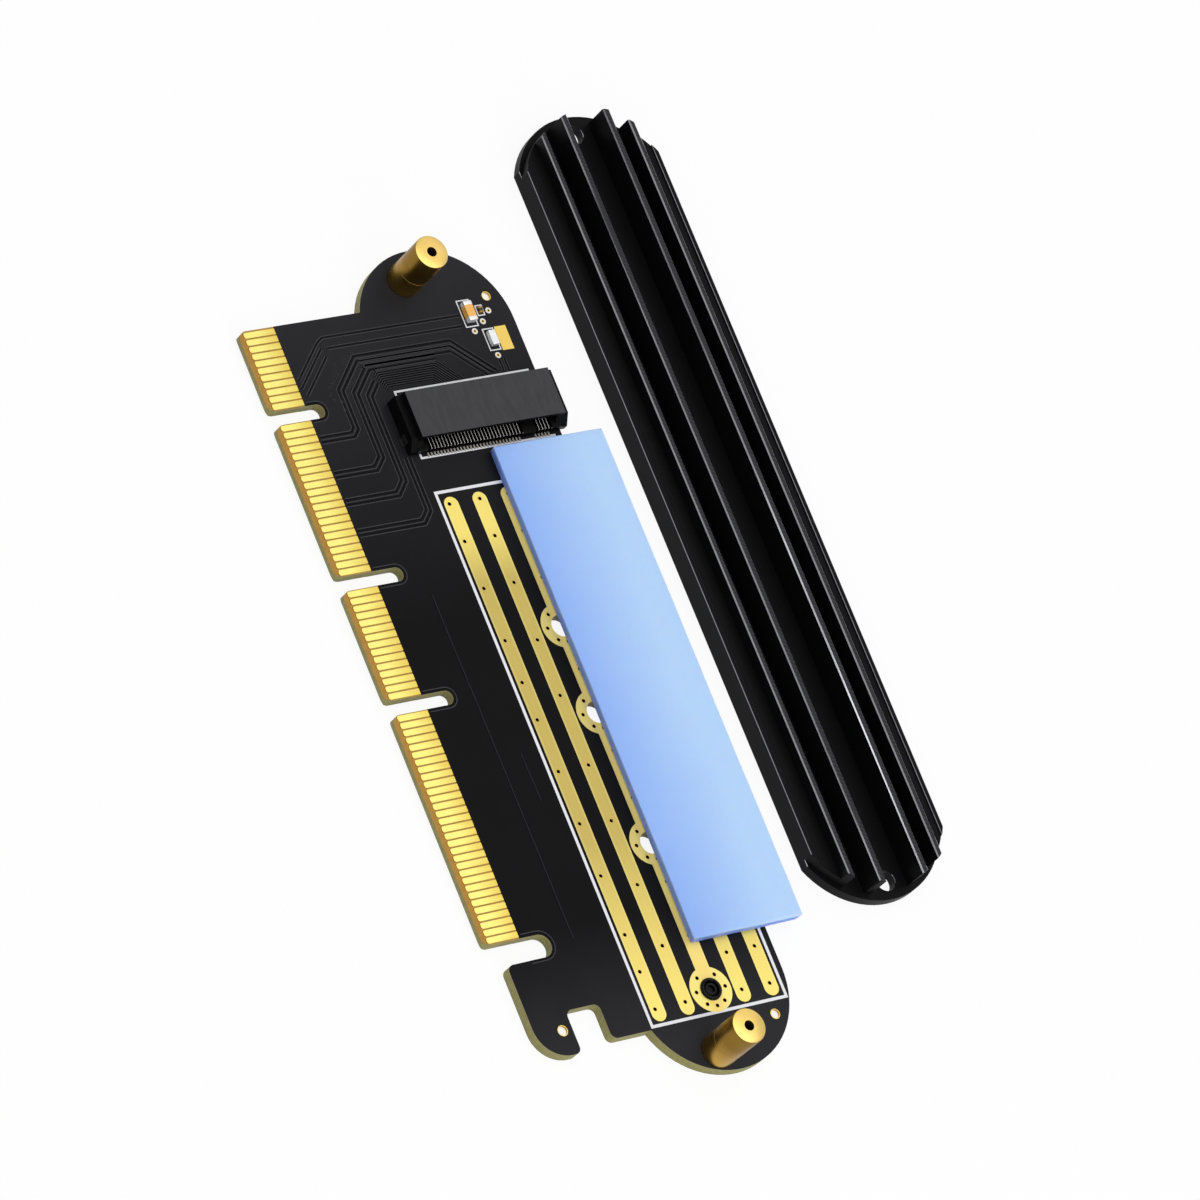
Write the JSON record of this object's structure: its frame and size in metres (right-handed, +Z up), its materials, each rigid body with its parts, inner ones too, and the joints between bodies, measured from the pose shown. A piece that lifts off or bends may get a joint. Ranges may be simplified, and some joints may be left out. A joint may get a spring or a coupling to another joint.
{
  "type": "nvme adapter card",
  "caption": "Flat adapter card with an edge connector, a socket and screw ring for a bare drive, brass standoffs, a soft thermal pad and a finned heatsink laid beside it.",
  "frame": {"origin": "on the card's underside, midway between the axes of the two standoffs", "axes": "+X along the edge contacts towards the card's hooked end, +Y from the contact edge towards the heatsink, +Z up out of the face that carries the socket"},
  "size_m": [0.1288, 0.0709, 0.0096],
  "materials": {
    "black_solder_mask": "satin solder mask on glass laminate",
    "gold_plate": "bright gold plate on copper",
    "turned_brass": "turned, with fine tool lines",
    "blackened_steel": "black oxide, slightly glossy",
    "moulded_nylon": "moulded, fine matt",
    "solder_tin": "bright tinned",
    "white_ink": "printed ink, matt",
    "fired_ceramic": "fired ceramic, smooth",
    "resistor_glaze": "black glass glaze",
    "white_led_resin": "cloudy resin",
    "soft_silicone": "soft filled silicone, matt",
    "black_anodised": "extruded and black anodised"
  },
  "bodies": {
    "root": {"circuit_board": "black_solder_mask", "edge_contacts_front": "gold_plate", "edge_contacts_back": "gold_plate", "copper_strip_1": "gold_plate", "copper_strip_2": "gold_plate", "ring_strip": "gold_plate", "copper_strip_4": "gold_plate", "copper_strip_5": "gold_plate", "hole_liners": "gold_plate", "upper_standoff": "turned_brass", "lower_standoff": "turned_brass", "drive_nut": "blackened_steel", "drive_screw": "blackened_steel", "socket_housing": "moulded_nylon", "socket_front_pins": "gold_plate", "socket_rear_pins": "gold_plate", "socket_hold_downs": "solder_tin", "drive_area_print": "white_ink", "socket_print": "white_ink", "component_print": "white_ink", "test_pads": "gold_plate", "bare_gold_pad": "gold_plate", "capacitor_body": "fired_ceramic", "capacitor_terminals": "solder_tin", "resistor_body": "resistor_glaze", "resistor_terminals": "solder_tin", "led_body": "white_led_resin", "led_terminals": "solder_tin", "thermal_pad": "soft_silicone", "heatsink": "black_anodised"}
  },
  "joints": []
}
